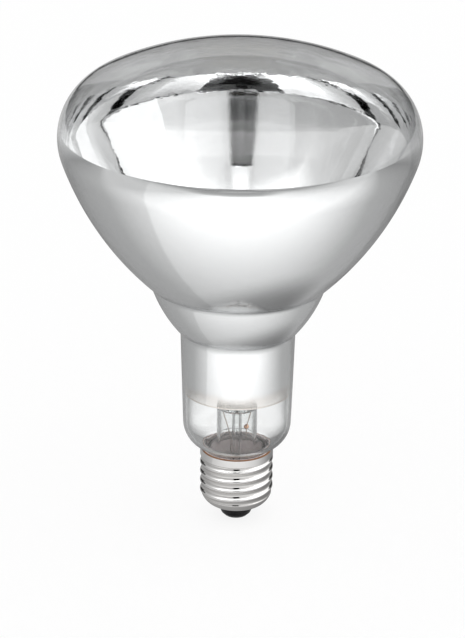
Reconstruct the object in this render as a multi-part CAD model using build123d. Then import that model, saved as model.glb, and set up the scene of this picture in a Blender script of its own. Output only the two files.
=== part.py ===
from build123d import *
import math
import os

# Reflector heat lamp, standing on its cap. Millimetres, +Z up through the dome.
# The origin is the centre of the flat face of the contact at the foot of the cap.

# Screw cap
THREAD_DIAMETER = 26.15
THREAD_PITCH = 25.4 / 7
THREAD_ROUND = 1.025
THREAD_LENGTH = 15.6
THREAD_FADE = 2.4
THREAD_PHASE = -20.0
CAP_SHEET = 0.3
CAP_RIM_DIAMETER = 26.1
CAP_RIM_LENGTH = 2.6
CAP_DOME_DIAMETER = 24.8
CAP_DOME_HEIGHT = 3.8
CAP_DOME_BULGE_HEIGHT = 0.9
CAP_MOUTH_DIAMETER = 14.0
CAP_CLEARANCE = 0.08

# Black insulator and centre contact
INSULATOR_DROP = 5.0
INSULATOR_FOOT_DIAMETER = 10.6
INSULATOR_EDGE = 1.1
INSULATOR_FILL = 0.8
CONTACT_DIAMETER = 7.2
CONTACT_SHEET = 0.6
CONTACT_PROUD = 0.25
CONTACT_HOLE = 2.2
SOLDER_DISH = 0.1
RIM_SOLDER_DIAMETER = 1.8

# Glass envelope
BULB_DIAMETER = 125.0
DOME_RADIUS = 114.5
EDGE_RADIUS = 21.4
BOWL_WALL_RADIUS = 112.0
BOWL_HEIGHT = 53.5
GROOVE_DIAMETER = 61.6
GROOVE_FILLET = 6.0
BULGE_RADIUS = 49.0
BULGE_HEIGHT = 18.3
NECK_TOP_DIAMETER = 40.5
NECK_FOOT_DIAMETER = 38.5
NECK_LENGTH = 35.0
CREASE_FILLET = 5.0
SHOULDER_RADIUS = 9.9
SHOULDER_CLEARANCE = 0.5
SEAL_FILLET = 0.8
SEAL_DEPTH = 1.8
SEAL_GAP = 0.7
GLASS_WALL = 1.0

# Mirror coating on the inner face of the glass
COATING_FILM = 0.1
COATING_TOP_ABOVE_RIM = 3.3
COATING_FOOT_ABOVE_CAP = 22.8

# Cement between the cap and the glass
CEMENT_BEAD = 0.3
CEMENT_DEPTH = 13.0
CEMENT_BORE = 20.4

# Glass stem, exhaust tube and support rod
STEM_DIAMETER = 14.4
STEM_WALL = 1.0
FLARE_LIP = 0.8
FLARE_HEIGHT = 4.6
STEM_HOLLOW = 17.8
PRESS_WIDTH = 13.0
PRESS_THICKNESS = 5.4
PRESS_TAPER = 4.0
PRESS_HEIGHT = 5.0
BLOW_HOLE = 1.6
EXHAUST_DIAMETER = 3.4
EXHAUST_BORE = 1.8
EXHAUST_LENGTH = 26.0
EXHAUST_FLARE_DIAMETER = 6.0
EXHAUST_FLARE_HEIGHT = 4.0
ROD_DIAMETER = 4.0
ROD_LENGTH = 33.0
ROD_COLLAR_DIAMETER = 6.4
ROD_COLLAR_THICKNESS = 1.2
BUTTON_DIAMETER = 7.0
BUTTON_THICKNESS = 4.4
GLASS_ROUNDING = 0.42

# Heat shield
SHIELD_DIAMETER = 34.0
SHIELD_THICKNESS = 0.4
SHIELD_ABOVE_PRESS = 10.0

# Wires and filament
LEAD_SPREAD = 10.0
INNER_LEAD_DIAMETER = 0.9
SEAL_WIRE_DIAMETER = 0.6
OUTER_LEAD_DIAMETER = 0.4
WELD_KNOT_DIAMETER = 1.9
WELD_KNOT_DROP = 8.0
WELD_KNOT_OFFSET = 3.4
CONTACT_LEAD_DROP = 12.0
WIRE_SEAT = 2.0
WIRE_BEND = 1.2
LEAD_KNEE_RADIUS = 9.3
LEAD_BEND_BELOW_KNEE = 11.0
SHELL_LEAD_RUN = 3.0
SUPPORT_DIAMETER = 0.5
SUPPORT_COUNT = 4
HOOK_CLEARANCE = 0.03
HOOK_TURN = 250.0
COIL_DIAMETER = 1.4
FILAMENT_DIAMETER = 30.0
FILAMENT_ARC = 250.0
FILAMENT_ABOVE_BUTTON = 7.0

# Rings and points that the cap's faces are drawn through
DOME_RINGS = 6
RINGS_PER_TURN = 10
POINTS_PER_RING = 24

# Heights that follow from the sizes
shell_foot = INSULATOR_DROP
thread_foot = shell_foot + CAP_DOME_HEIGHT
thread_head = thread_foot + THREAD_LENGTH
cap_rim = thread_head + CAP_RIM_LENGTH
seal_foot = cap_rim - SEAL_DEPTH
neck_foot = cap_rim + SHOULDER_CLEARANCE + SHOULDER_RADIUS
crease_height = neck_foot + NECK_LENGTH
groove_height = crease_height + BULGE_HEIGHT
rim_height = groove_height + BOWL_HEIGHT
hollow_head = seal_foot + STEM_HOLLOW
press_foot = hollow_head + PRESS_TAPER
press_head = press_foot + PRESS_HEIGHT
button_height = press_head + ROD_LENGTH
filament_height = button_height + FILAMENT_ABOVE_BUTTON

# Radii that follow from the sizes
crest_centre = THREAD_DIAMETER / 2 - THREAD_ROUND
root_centre = crest_centre + math.sqrt((2 * THREAD_ROUND) ** 2 - (THREAD_PITCH / 2) ** 2)
root_radius = root_centre - THREAD_ROUND
rim_bore = CAP_RIM_DIAMETER / 2 - CAP_SHEET
seal_radius = rim_bore - SEAL_GAP
lead_offset = LEAD_SPREAD / 2
filament_radius = FILAMENT_DIAMETER / 2
coil_radius = COIL_DIAMETER / 2

TOUCHING = 1e-6
ON_FOOT = (Align.CENTER, Align.CENTER, Align.MIN)


def point(radius, height):
    return Vector(radius, height)


def turned(face, arc=360.0):
    return revolve(face, axis=Axis.Z, revolution_arc=arc)


def profile(*points):
    return Plane.XZ * make_face(Polyline(*points, close=True))


def circles_meet(centre_a, radius_a, centre_b, radius_b, near):
    """The crossing of two circles that lies nearer to a given point."""
    across = centre_b - centre_a
    gap = across.length
    along = (radius_a**2 - radius_b**2 + gap**2) / (2 * gap)
    aside = math.sqrt(radius_a**2 - along**2)
    middle = centre_a + across * (along / gap)
    turn = Vector(-across.Y, across.X) * (aside / gap)
    return min((middle + turn, middle - turn), key=lambda spot: (spot - near).length)


def normal_between(centre_a, radius_a, centre_b, radius_b):
    """Outward normal where two tangent rounds meet. A hollow round has a minus radius."""
    return (centre_b - centre_a) * (1 / (radius_a - radius_b))


def glass_rounds():
    """Rounds of the outer glass from the crown down: centre, radius, first and last normal."""
    groove = point(GROOVE_DIAMETER / 2, groove_height)
    crease = point(NECK_TOP_DIAMETER / 2, crease_height)
    foot = point(NECK_FOOT_DIAMETER / 2, neck_foot)

    edge = point(BULB_DIAMETER / 2 - EDGE_RADIUS, rim_height)
    dome = point(0, rim_height - math.sqrt((DOME_RADIUS - EDGE_RADIUS) ** 2 - edge.X**2))
    axis_side = point(-BOWL_WALL_RADIUS, rim_height)
    wall = circles_meet(edge, BOWL_WALL_RADIUS - EDGE_RADIUS, groove, BOWL_WALL_RADIUS, axis_side)
    bulge = circles_meet(groove, BULGE_RADIUS, crease, BULGE_RADIUS, axis_side)
    groove_round = circles_meet(
        wall, BOWL_WALL_RADIUS + GROOVE_FILLET, bulge, BULGE_RADIUS + GROOVE_FILLET, groove
    )

    neck_way = (foot - crease).normalized()
    neck_out = Vector(-neck_way.Y, neck_way.X)
    start = crease + neck_out * CREASE_FILLET
    to_bulge = start - bulge
    slide = to_bulge.dot(neck_way)
    reach = (BULGE_RADIUS + CREASE_FILLET) ** 2 - to_bulge.dot(to_bulge)
    crease_round = start + neck_way * (math.sqrt(slide**2 + reach) - slide)

    shoulder = foot - neck_out * SHOULDER_RADIUS
    seal_round_radius = seal_radius + SEAL_FILLET
    seal_drop = math.sqrt((SHOULDER_RADIUS + SEAL_FILLET) ** 2 - (seal_round_radius - shoulder.X) ** 2)
    seal_round = point(seal_round_radius, shoulder.Y - seal_drop)

    dome_edge = normal_between(dome, DOME_RADIUS, edge, EDGE_RADIUS)
    edge_wall = normal_between(edge, EDGE_RADIUS, wall, BOWL_WALL_RADIUS)
    wall_groove = normal_between(wall, BOWL_WALL_RADIUS, groove_round, -GROOVE_FILLET)
    groove_bulge = normal_between(groove_round, -GROOVE_FILLET, bulge, BULGE_RADIUS)
    bulge_crease = normal_between(bulge, BULGE_RADIUS, crease_round, -CREASE_FILLET)
    shoulder_seal = normal_between(shoulder, SHOULDER_RADIUS, seal_round, -SEAL_FILLET)
    return [
        (dome, DOME_RADIUS, point(0, 1), dome_edge),
        (edge, EDGE_RADIUS, dome_edge, edge_wall),
        (wall, BOWL_WALL_RADIUS, edge_wall, wall_groove),
        (groove_round, -GROOVE_FILLET, wall_groove, groove_bulge),
        (bulge, BULGE_RADIUS, groove_bulge, bulge_crease),
        (crease_round, -CREASE_FILLET, bulge_crease, neck_out),
        (shoulder, SHOULDER_RADIUS, neck_out, shoulder_seal),
        (seal_round, -SEAL_FILLET, shoulder_seal, point(1, 0)),
    ]


def glass_section(inset):
    """Half section of the bulb from its axis out to the glass face, moved in by the inset."""
    with BuildSketch(Plane.XZ) as section:
        with BuildLine():
            end = None
            for centre, radius, first, last in glass_rounds():
                start = centre + first * (radius - inset)
                middle = centre + (first + last).normalized() * (radius - inset)
                if end is None:
                    crown = start
                elif (start - end).length > TOUCHING:
                    Line(end, start)
                end = centre + last * (radius - inset)
                ThreePointArc(start, middle, end)
            Polyline(end, point(end.X, seal_foot), point(0, seal_foot), crown)
        make_face()
    return section.sketch


def glass_envelope():
    return turned(glass_section(0) - glass_section(GLASS_WALL))


def mirror_coating():
    film = glass_section(GLASS_WALL) - glass_section(GLASS_WALL + COATING_FILM)
    foot = cap_rim + COATING_FOOT_ABOVE_CAP
    head = rim_height + COATING_TOP_ABOVE_RIM
    band = profile((0, foot), (BULB_DIAMETER, foot), (BULB_DIAMETER, head), (0, head))
    return turned(film & band)


def thread_radius(rise, inset):
    """Radius of the rolled thread at a rise from its crest, for a face moved in by the inset."""
    rise = abs((rise + THREAD_PITCH / 2) % THREAD_PITCH - THREAD_PITCH / 2)
    crest_round = THREAD_ROUND - inset
    root_round = THREAD_ROUND + inset
    if rise < THREAD_PITCH / 2 * crest_round / (2 * THREAD_ROUND):
        return crest_centre + math.sqrt(crest_round**2 - rise**2)
    return root_centre - math.sqrt(root_round**2 - (THREAD_PITCH / 2 - rise) ** 2)


def cap_dome_arc(inset):
    """Curve of the cap from the flat round its mouth out to the foot of the thread."""
    mouth = point(CAP_MOUTH_DIAMETER / 2 + CAP_SHEET, shell_foot + inset)
    side = point(CAP_DOME_DIAMETER / 2 - inset, thread_foot)
    return SagittaArc(mouth, side, -CAP_DOME_BULGE_HEIGHT)


def cap_stations(inset):
    """Rings of one cap face from the mouth up to the rim: mean radius, height, depth of thread."""
    mean = (crest_centre + root_centre) / 2 - inset
    dome = CAP_DOME_DIAMETER / 2 - inset
    rim = CAP_RIM_DIAMETER / 2 - inset
    stations = []
    arc = cap_dome_arc(inset)
    for step in range(DOME_RINGS):
        spot = arc @ (step / DOME_RINGS)
        stations.append((spot.X, spot.Y, 0))
    count = math.ceil(THREAD_LENGTH / THREAD_PITCH * RINGS_PER_TURN)
    for step in range(count + 1):
        rise = THREAD_LENGTH * step / count
        low = min(rise / THREAD_FADE, 1)
        high = min((THREAD_LENGTH - rise) / THREAD_FADE, 1)
        low = low * low * (3 - 2 * low)
        high = high * high * (3 - 2 * high)
        radius = mean + (dome - mean) * (1 - low) + (rim - mean) * (1 - high)
        stations.append((radius, thread_foot + rise, low * high))
    stations.append((rim, cap_rim, 0))
    return stations


def cap_ring(mean, height, depth, inset):
    """Closed curve round the cap at one height, waved by the thread that winds past it."""
    plain = (crest_centre + root_centre) / 2 - inset
    spots = []
    for step in range(POINTS_PER_RING):
        angle = 360 * step / POINTS_PER_RING
        rise = height - thread_foot - THREAD_PITCH * (angle + THREAD_PHASE) / 360
        radius = mean + depth * (thread_radius(rise, inset) - plain)
        turn = math.radians(angle)
        spots.append(Vector(radius * math.cos(turn), radius * math.sin(turn), height))
    even = [step / POINTS_PER_RING for step in range(POINTS_PER_RING + 1)]
    return Wire([Edge.make_spline(spots, periodic=True, parameters=even)])


def cap_core(inset):
    rings = [cap_ring(*station, inset) for station in cap_stations(inset)]
    return Solid.make_loft(rings, ruled=True)


def cap_shell():
    """Thin sheet rolled to the knuckle thread, open at its rim and at the mouth below."""
    mouth = Pos(0, 0, shell_foot) * Cylinder(CAP_MOUTH_DIAMETER / 2, 4 * CAP_SHEET)
    return cap_core(0) - cap_core(CAP_SHEET) - mouth


def cap_insulator():
    """Black glass poured into the foot of the cap, with a seat for the contact under it."""
    mouth = CAP_MOUTH_DIAMETER / 2 - CAP_CLEARANCE
    foot = INSULATOR_FOOT_DIAMETER / 2
    dome = cap_dome_arc(CAP_SHEET + CAP_CLEARANCE)
    low = dome @ 0
    head = dome @ INSULATOR_FILL
    with BuildSketch(Plane.XZ) as section:
        with BuildLine():
            ThreePointArc(low, dome @ (INSULATOR_FILL / 2), head)
            Polyline(
                low,
                point(mouth, low.Y),
                point(mouth, shell_foot),
                point(foot, CONTACT_PROUD + INSULATOR_EDGE),
                point(foot - INSULATOR_EDGE, CONTACT_PROUD),
                point(0, CONTACT_PROUD),
                point(0, head.Y),
                head,
            )
        make_face()
    seat = Pos(0, 0, CONTACT_SHEET / 2) * Cylinder(CONTACT_DIAMETER / 2, CONTACT_SHEET)
    return turned(section.sketch) - seat


def contact_plate():
    plate = Cylinder(CONTACT_DIAMETER / 2, CONTACT_SHEET) - Cylinder(CONTACT_HOLE / 2, CONTACT_SHEET)
    return Pos(0, 0, CONTACT_SHEET / 2) * plate


def contact_solder():
    hole = CONTACT_HOLE / 2
    return turned(profile((0, SOLDER_DISH), (hole, 0), (hole, CONTACT_SHEET), (0, CONTACT_SHEET)))


def cap_cement():
    """Brown cement that holds the glass in the rim of the cap and shows as a line above it."""
    rim_side = rim_bore - CAP_CLEARANCE
    thread_side = root_radius - CAP_SHEET - CAP_CLEARANCE
    bead_head = cap_rim + CEMENT_BEAD
    fill = profile(
        (CEMENT_BORE / 2, cap_rim - CEMENT_DEPTH),
        (thread_side, cap_rim - CEMENT_DEPTH),
        (thread_side, thread_head - THREAD_FADE / 2),
        (rim_side, thread_head),
        (rim_side, bead_head),
        (CEMENT_BORE / 2, bead_head),
    )
    return turned(fill - glass_section(0))


def stem_glass():
    """Flared tube that closes the neck, pressed flat at its head round the seal wires."""
    lip = seal_radius - GLASS_WALL
    tube = STEM_DIAMETER / 2
    lip_head = seal_foot + FLARE_LIP
    tube_foot = seal_foot + FLARE_HEIGHT

    def flare(inset, head):
        with BuildSketch(Plane.XZ) as section:
            with BuildLine():
                Line(point(0, seal_foot), point(lip - inset, seal_foot))
                Line(point(lip - inset, seal_foot), point(lip - inset, lip_head))
                Spline(
                    point(lip - inset, lip_head),
                    point(tube - inset, tube_foot),
                    tangents=[(0, 1), (0, 1)],
                )
                Line(point(tube - inset, tube_foot), point(tube - inset, head))
                Polyline(point(tube - inset, head), point(0, head), point(0, seal_foot))
            make_face()
        return turned(section.sketch)

    flat = SlotOverall(PRESS_WIDTH, PRESS_THICKNESS)
    taper = loft([Pos(0, 0, hollow_head) * Circle(tube), Pos(0, 0, press_foot) * flat])
    press = extrude(Pos(0, 0, press_foot) * flat, PRESS_HEIGHT)
    body = flare(0, hollow_head) + taper + press - flare(STEM_WALL, hollow_head)
    bore = Pos(0, 0, hollow_head + PRESS_TAPER / 2) * Cylinder(BLOW_HOLE / 2, PRESS_TAPER)
    side_hole = Cylinder(BLOW_HOLE / 2, STEM_DIAMETER, align=ON_FOOT)
    return body - bore - Pos(0, 0, press_foot) * Rot(-90, 0, 0) * side_hole


def exhaust_tube():
    """Tube through which the bulb was pumped out, melted shut at its lower tip."""
    outer = EXHAUST_DIAMETER / 2
    flare = EXHAUST_FLARE_DIAMETER / 2
    foot = hollow_head - EXHAUST_LENGTH
    flare_foot = hollow_head - EXHAUST_FLARE_HEIGHT
    with BuildSketch(Plane.XZ) as section:
        with BuildLine():
            RadiusArc(point(0, foot), point(outer, foot + outer), -outer)
            Line(point(outer, foot + outer), point(outer, flare_foot))
            Spline(point(outer, flare_foot), point(flare, hollow_head), tangents=[(0, 1), (1, 1)])
            Polyline(point(flare, hollow_head), point(0, hollow_head), point(0, foot))
        make_face()
    bore = Cylinder(EXHAUST_BORE / 2, EXHAUST_LENGTH, align=ON_FOOT)
    return turned(section.sketch) - Pos(0, 0, foot + outer) * bore


def support_rod():
    """Glass rod with a collar under the heat shield and a button that grips the supports."""
    rod = Pos(0, 0, press_head) * Cylinder(ROD_DIAMETER / 2, ROD_LENGTH, align=ON_FOOT)
    shield_seat = press_head + SHIELD_ABOVE_PRESS
    collar = Cylinder(ROD_COLLAR_DIAMETER / 2, ROD_COLLAR_THICKNESS)
    collar = fillet(collar.edges(), ROD_COLLAR_THICKNESS * GLASS_ROUNDING)
    collar = Pos(0, 0, shield_seat - ROD_COLLAR_THICKNESS / 2) * collar
    button = Pos(0, 0, button_height) * Cylinder(BUTTON_DIAMETER / 2, BUTTON_THICKNESS)
    button = fillet(button.edges(), BUTTON_THICKNESS * GLASS_ROUNDING)
    return rod + collar + button


def heat_shield():
    shield_seat = press_head + SHIELD_ABOVE_PRESS
    disc = Cylinder(SHIELD_DIAMETER / 2, SHIELD_THICKNESS) - Cylinder(ROD_DIAMETER / 2, SHIELD_THICKNESS)
    return Pos(0, 0, shield_seat + SHIELD_THICKNESS / 2) * disc


def swept(path, diameter):
    return sweep(Plane(path @ 0, z_dir=path % 0) * Circle(diameter / 2), path)


def bent_wire(points, diameter, bend=WIRE_BEND):
    return swept(FilletPolyline(*points, radius=bend), diameter)


def hooked_wire(points, angle, diameter):
    """Wire through the points, then hooked round the coil in the upright plane at an angle."""
    outward = (math.cos(angle), math.sin(angle), 0)
    sideways = (math.sin(angle), -math.cos(angle), 0)
    upright = Plane((0, 0, 0), x_dir=outward, z_dir=sideways)
    coil = point(filament_radius, filament_height)
    reach = coil_radius + HOOK_CLEARANCE + diameter / 2
    last = upright.to_local_coords(Vector(*points[-1]))
    away = point(last.X, last.Y) - coil
    heading = math.atan2(away.Y, away.X) + math.acos(reach / away.length)

    def on_hook(turn):
        bearing = heading + math.radians(turn)
        return upright.from_local_coords(coil + point(math.cos(bearing), math.sin(bearing)) * reach)

    touch = on_hook(0)
    if len(points) > 1:
        run = FilletPolyline(*points, touch, radius=WIRE_BEND)
    else:
        run = Line(points[0], touch)
    hook = ThreePointArc(touch, on_hook(HOOK_TURN / 2), on_hook(HOOK_TURN))
    return swept(Wire(run.edges() + hook.edges()), diameter)


def filament_angle(share):
    """Bearing of a place along the filament, whose gap is at the back."""
    return math.radians(90 + (360 - FILAMENT_ARC) / 2 + FILAMENT_ARC * share)


def filament_coil():
    coil = Plane.XZ * Pos(filament_radius, filament_height) * Circle(coil_radius)
    spare = math.degrees(INNER_LEAD_DIAMETER / filament_radius)
    start = math.degrees(filament_angle(0)) - spare
    return Rot(0, 0, start) * turned(coil, FILAMENT_ARC + 2 * spare)


def filament_support(share):
    angle = filament_angle(share)
    inside = BUTTON_DIAMETER / 2 - WIRE_SEAT
    start = (inside * math.cos(angle), inside * math.sin(angle), button_height)
    return hooked_wire([start], angle, SUPPORT_DIAMETER)


def inner_lead(side, share):
    angle = filament_angle(share)
    bend = button_height - LEAD_BEND_BELOW_KNEE
    knee = LEAD_KNEE_RADIUS
    points = [
        (side * lead_offset, 0, press_head - WIRE_SEAT),
        (side * lead_offset, 0, bend),
        (knee * math.cos(angle), knee * math.sin(angle), button_height),
    ]
    return hooked_wire(points, angle, INNER_LEAD_DIAMETER)


def seal_wire(side):
    foot = hollow_head + WIRE_SEAT
    length = press_head - WIRE_SEAT - foot
    wire = Cylinder(SEAL_WIRE_DIAMETER / 2, length, align=ON_FOOT)
    return Pos(side * lead_offset, 0, foot) * wire


def contact_lead():
    """Copper wire from the left seal wire down to the solder of the centre contact."""
    beside = EXHAUST_DIAMETER / 2 + OUTER_LEAD_DIAMETER
    points = [
        (-lead_offset, 0, hollow_head + WIRE_SEAT),
        (-lead_offset, 0, hollow_head - WIRE_SEAT),
        (-beside, 0, hollow_head - CONTACT_LEAD_DROP),
        (-beside, 0, hollow_head - EXHAUST_LENGTH),
        (0, 0, thread_foot + WIRE_SEAT),
        (0, 0, CONTACT_SHEET),
    ]
    return bent_wire(points, OUTER_LEAD_DIAMETER)


def shell_lead():
    """Copper wire from the right seal wire out under the flare and up to the rim of the cap."""
    between = (seal_radius + rim_bore - CAP_CLEARANCE) / 2
    under = (thread_head + seal_foot) / 2
    over_rim = cap_rim + OUTER_LEAD_DIAMETER
    knot_height = hollow_head - WELD_KNOT_DROP
    points = [
        (lead_offset, 0, hollow_head + WIRE_SEAT),
        (lead_offset, 0, hollow_head - WIRE_SEAT),
        (WELD_KNOT_OFFSET, 0, knot_height),
        (WELD_KNOT_OFFSET, 0, seal_foot + FLARE_HEIGHT),
        (0, between - SHELL_LEAD_RUN, under),
        (0, between, under),
        (0, between, over_rim),
        (0, rim_bore + CAP_SHEET, over_rim),
    ]
    knot = Pos(WELD_KNOT_OFFSET, 0, knot_height) * Sphere(WELD_KNOT_DIAMETER / 2)
    return bent_wire(points, OUTER_LEAD_DIAMETER, bend=OUTER_LEAD_DIAMETER) + knot


def rim_solder():
    """Bead that joins the copper wire to the rim, at the back of the cap."""
    bead = Pos(0, CAP_RIM_DIAMETER / 2, cap_rim) * Sphere(RIM_SOLDER_DIAMETER / 2)
    rim = Cylinder(CAP_RIM_DIAMETER / 2 + CAP_CLEARANCE, cap_rim + CAP_CLEARANCE, align=ON_FOOT)
    return bead - rim


parts = {
    "glass_envelope": glass_envelope(),
    "mirror_coating": mirror_coating(),
    "cap_shell": cap_shell(),
    "contact_plate": contact_plate(),
    "filament_coil": filament_coil(),
    "inner_lead_right": inner_lead(1, 1),
    "inner_lead_left": inner_lead(-1, 0),
    "seal_wire_right": seal_wire(1),
    "seal_wire_left": seal_wire(-1),
    "contact_lead": contact_lead(),
    "shell_lead": shell_lead(),
    "exhaust_tube": exhaust_tube(),
}
for number in range(SUPPORT_COUNT):
    share = (number + 1) / (SUPPORT_COUNT + 1)
    parts[f"filament_support_{number + 1}"] = filament_support(share)

# Glass and cement take the form of the wires that run through them
stem_wires = [parts[name] for name in parts if "lead" in name or "seal_wire" in name]
supports = [parts[name] for name in parts if "filament_support" in name]
leads = [parts["inner_lead_left"], parts["inner_lead_right"]]
parts["stem_glass"] = stem_glass() - stem_wires
parts["support_rod"] = support_rod() - supports
parts["heat_shield"] = heat_shield() - leads
parts["cap_cement"] = cap_cement() - parts["shell_lead"]
parts["cap_insulator"] = cap_insulator() - parts["contact_lead"]
parts["contact_solder"] = contact_solder() - parts["contact_lead"]
parts["rim_solder"] = rim_solder() - parts["cap_cement"] - parts["shell_lead"]

os.makedirs("parts", exist_ok=True)
for name, piece in parts.items():
    piece.label = name
    export_step(piece, f"parts/{name}.step")
    print(f"{name}: {len(piece.solids())} solid, {piece.volume:.1f} cubic millimetres")
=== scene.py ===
# %% [markdown]
# # A reflector heat lamp
#
# The lamp is a blown glass bulb with a mirror film on the inside of its bowl, a glass stem that
# carries the heating coil, and a rolled screw cap. The CAD frame brings every piece at its size
# and place. The pieces that make the look (glass, film, cap and coil) are modelled again here, to
# the same main sizes but with finer meshes, and every surface gets a material.

# %% Load the CAD frame
import math
import bpy
from mathutils import Matrix, Vector


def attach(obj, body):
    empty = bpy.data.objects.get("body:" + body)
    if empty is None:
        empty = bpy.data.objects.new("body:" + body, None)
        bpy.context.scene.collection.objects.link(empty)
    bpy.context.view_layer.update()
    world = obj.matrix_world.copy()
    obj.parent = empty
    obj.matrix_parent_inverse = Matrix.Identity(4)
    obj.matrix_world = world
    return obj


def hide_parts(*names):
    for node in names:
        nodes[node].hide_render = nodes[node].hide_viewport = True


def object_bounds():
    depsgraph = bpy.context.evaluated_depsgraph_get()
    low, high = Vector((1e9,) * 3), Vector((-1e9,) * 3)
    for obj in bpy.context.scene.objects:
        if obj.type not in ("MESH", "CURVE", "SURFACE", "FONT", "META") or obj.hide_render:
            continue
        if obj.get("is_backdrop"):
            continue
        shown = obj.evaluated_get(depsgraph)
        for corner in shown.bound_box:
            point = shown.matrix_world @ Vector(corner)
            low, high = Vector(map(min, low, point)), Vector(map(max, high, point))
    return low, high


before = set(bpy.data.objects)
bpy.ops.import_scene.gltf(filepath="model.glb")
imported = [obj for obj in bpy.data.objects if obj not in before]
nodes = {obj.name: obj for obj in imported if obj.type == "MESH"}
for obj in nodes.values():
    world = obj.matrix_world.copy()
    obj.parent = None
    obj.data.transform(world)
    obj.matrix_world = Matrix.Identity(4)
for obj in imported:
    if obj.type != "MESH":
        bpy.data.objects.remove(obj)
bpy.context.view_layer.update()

scene = bpy.context.scene
MM = 0.001

# %% [markdown]
# ## The outline of the glass
#
# A blown bulb is a body of revolution, and its outline is a chain of rounds that run smoothly
# into each other. It could be traced with a curve, but a mirror shows the smallest kink, so the
# rounds are worked out from the lamp's sizes: two rounds run smoothly into each other where they
# share a normal, and that normal lies on the line between their centres. A hollow round, such as
# the groove under the bowl, has a minus radius. Then a face further in has the same centres, and
# each radius is less by the same amount.

# %% Sizes of the glass in millimetres, from the rim of the cap up
CAP_RIM = 27.0
CAP_RIM_RADIUS = 13.05
CAP_SHEET = 0.3
SEAL_GAP = 0.7
SEAL_DEPTH = 1.8
SEAL_ROUND = 0.8
SHOULDER_CLEARANCE = 0.5
SHOULDER_RADIUS = 9.9
NECK_FOOT_DIAMETER = 38.5
NECK_TOP_DIAMETER = 40.5
NECK_LENGTH = 35.0
CREASE_ROUND = 5.0
BULGE_RADIUS = 49.0
BULGE_HEIGHT = 18.3
GROOVE_ROUND = 6.0
GROOVE_DIAMETER = 61.6
BOWL_WALL_RADIUS = 112.0
BOWL_HEIGHT = 53.5
EDGE_RADIUS = 21.4
BULB_DIAMETER = 125.0
DOME_RADIUS = 114.5

seal_foot = CAP_RIM - SEAL_DEPTH
seal_radius = CAP_RIM_RADIUS - CAP_SHEET - SEAL_GAP
neck_foot = CAP_RIM + SHOULDER_CLEARANCE + SHOULDER_RADIUS
crease_height = neck_foot + NECK_LENGTH
groove_height = crease_height + BULGE_HEIGHT
edge_height = groove_height + BOWL_HEIGHT
print("height of the widest circle:", round(edge_height, 1))

# %% Work out the rounds


def circles_meet(centre_a, reach_a, centre_b, reach_b, near):
    """The crossing of two circles that lies nearer to a given point."""
    across = centre_b - centre_a
    gap = across.length
    along = (reach_a**2 - reach_b**2 + gap**2) / (2 * gap)
    aside = math.sqrt(reach_a**2 - along**2)
    middle = centre_a + across * (along / gap)
    turn = Vector((-across.y, across.x)) * (aside / gap)
    return min((middle + turn, middle - turn), key=lambda spot: (spot - near).length)


def chain(first_normal, rounds, last_normal):
    """Rounds (centre, radius), each with the bearings at which it starts and ends."""
    normals = [first_normal]
    for (here, radius), (there, next_radius) in zip(rounds, rounds[1:]):
        normals.append((there - here) / (radius - next_radius))
    normals.append(last_normal)
    bearings = [math.atan2(normal.y, normal.x) for normal in normals]
    return [(*each, first, last) for each, first, last in zip(rounds, bearings, bearings[1:])]


def glass_rounds():
    """The rounds of the outer glass face, from the crown down to the seal."""
    groove = Vector((GROOVE_DIAMETER / 2, groove_height))
    crease = Vector((NECK_TOP_DIAMETER / 2, crease_height))
    neck_end = Vector((NECK_FOOT_DIAMETER / 2, neck_foot))
    far_side = Vector((-BOWL_WALL_RADIUS, edge_height))

    edge = Vector((BULB_DIAMETER / 2 - EDGE_RADIUS, edge_height))
    dome = Vector((0, edge_height - math.sqrt((DOME_RADIUS - EDGE_RADIUS) ** 2 - edge.x**2)))
    bowl = circles_meet(edge, BOWL_WALL_RADIUS - EDGE_RADIUS, groove, BOWL_WALL_RADIUS, far_side)
    bulge = circles_meet(groove, BULGE_RADIUS, crease, BULGE_RADIUS, far_side)
    from_bowl = BOWL_WALL_RADIUS + GROOVE_ROUND
    from_bulge = BULGE_RADIUS + GROOVE_ROUND
    groove_round = circles_meet(bowl, from_bowl, bulge, from_bulge, groove)

    neck_way = (neck_end - crease).normalized()
    neck_normal = Vector((-neck_way.y, neck_way.x))
    beside = crease + neck_normal * CREASE_ROUND - bulge
    slide = beside.dot(neck_way)
    reach = (BULGE_RADIUS + CREASE_ROUND) ** 2 - beside.dot(beside)
    crease_round = bulge + beside + neck_way * (math.sqrt(slide**2 + reach) - slide)

    shoulder = neck_end - neck_normal * SHOULDER_RADIUS
    seal_out = seal_radius + SEAL_ROUND
    seal_drop = math.sqrt((SHOULDER_RADIUS + SEAL_ROUND) ** 2 - (seal_out - shoulder.x) ** 2)
    seal = Vector((seal_out, shoulder.y - seal_drop))

    upper = [(dome, DOME_RADIUS), (edge, EDGE_RADIUS), (bowl, BOWL_WALL_RADIUS)]
    upper += [(groove_round, -GROOVE_ROUND), (bulge, BULGE_RADIUS), (crease_round, -CREASE_ROUND)]
    lower = [(shoulder, SHOULDER_RADIUS), (seal, -SEAL_ROUND)]
    up = Vector((0, 1))
    outward = Vector((1, 0))
    return chain(up, upper, neck_normal) + chain(neck_normal, lower, outward)


print("rounds of the glass:", len(glass_rounds()))

# %% Take points along them
POINT_SPACING = 1.2
FEWEST_STEPS = 6


def between(here, there):
    """Evenly spaced points on a straight stretch, without its ends."""
    count = int(math.dist(here, there) / (2 * POINT_SPACING))
    across = there[0] - here[0]
    rise = there[1] - here[1]
    shares = [(number + 1) / (count + 1) for number in range(count)]
    return [(here[0] + across * share, here[1] + rise * share) for share in shares]


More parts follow.
